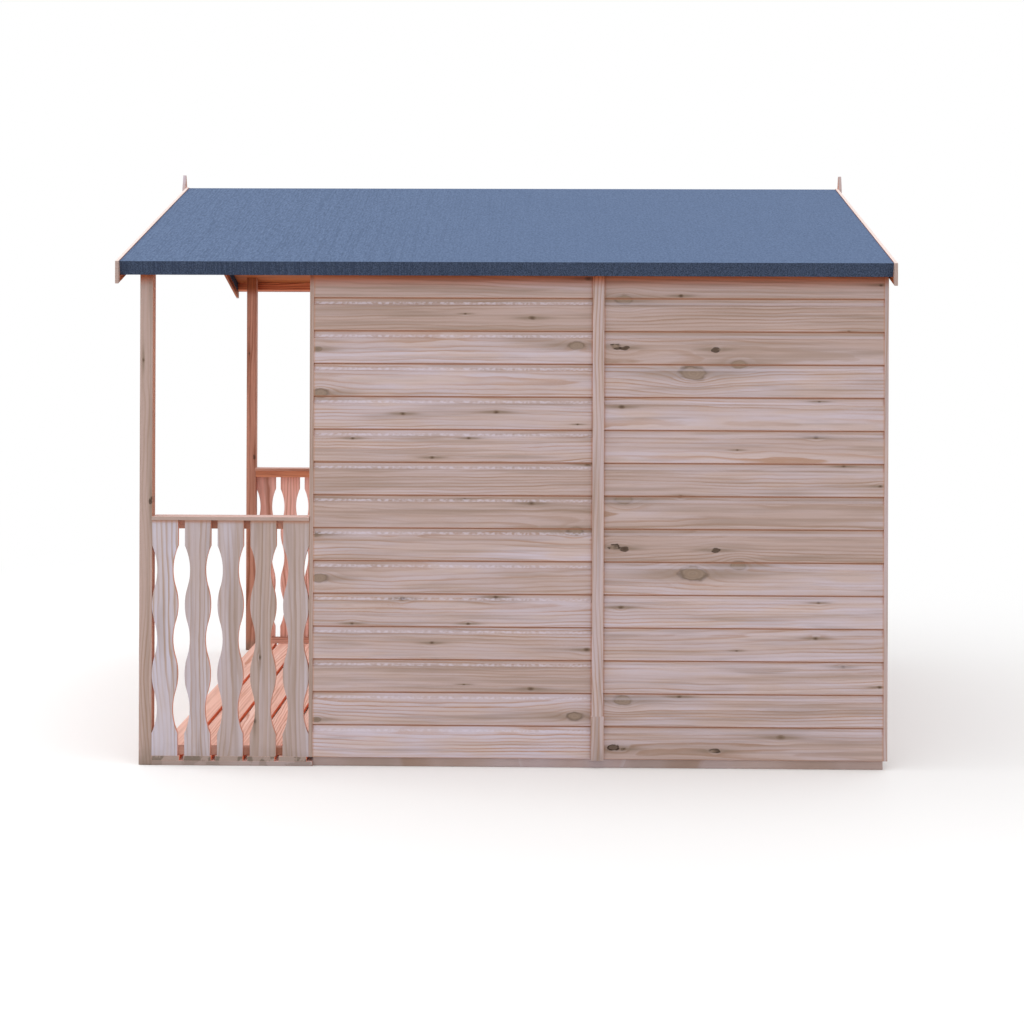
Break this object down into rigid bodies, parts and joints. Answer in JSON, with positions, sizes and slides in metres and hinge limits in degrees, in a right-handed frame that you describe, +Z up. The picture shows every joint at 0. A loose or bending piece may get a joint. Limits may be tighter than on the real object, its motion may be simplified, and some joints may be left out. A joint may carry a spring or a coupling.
{
  "type": "summerhouse with veranda",
  "caption": "Timber summerhouse with shiplap walls, a felted apex roof and an open front veranda with posts, handrails and wavy balusters.",
  "frame": {"origin": "centre of the building's bounding box at ground level, between the veranda posts and the rear wall", "axes": "+X to the building's right-hand side seen from the front, -Y towards the veranda, +Z up"},
  "size_m": [2.312, 2.728, 2.172],
  "materials": {
    "pine": "sawn softwood, untreated, pale pinkish beige with knots",
    "shaded_pine": "sawn softwood framing, warm tone",
    "deck_pine": "planed softwood deck boards",
    "felt": "mineral roofing felt, slate blue, matt",
    "glass": "clear glazing"
  },
  "bodies": {
    "root": {"cabin_bearers": "shaded_pine", "cabin_floor": "shaded_pine", "veranda_bearers": "shaded_pine", "deck_boards": "deck_pine", "side_panel_right_front": "pine", "side_panel_right_rear": "pine", "side_panel_left_front": "pine", "side_panel_left_rear": "pine", "side_battens": "pine", "batten_feet": "pine", "side_framing_right": "shaded_pine", "side_framing_left": "shaded_pine", "rear_panel_left": "pine", "rear_panel_right": "pine", "rear_batten": "pine", "rear_framing": "shaded_pine", "front_panel_left": "pine", "front_panel_right": "pine", "front_gable": "pine", "front_framing": "shaded_pine", "door_surround": "pine", "door_sill": "pine", "door_left": "pine", "door_right": "pine", "door_glass": "glass", "window_frame_left": "pine", "window_frame_right": "pine", "window_glass": "glass", "corner_strips_front": "pine", "corner_strips_rear": "pine", "veranda_post_left": "pine", "veranda_post_right": "pine", "handrails": "pine", "top_rails": "shaded_pine", "bottom_rails": "shaded_pine", "balusters_left": "pine", "balusters_right": "pine", "eaves_rails": "shaded_pine", "ridge_beam": "shaded_pine", "roof_boards_left": "shaded_pine", "roof_boards_right": "shaded_pine", "roofing_felt": "felt", "bargeboards_left": "pine", "bargeboards_right": "pine", "finials": "pine"}
  },
  "joints": []
}
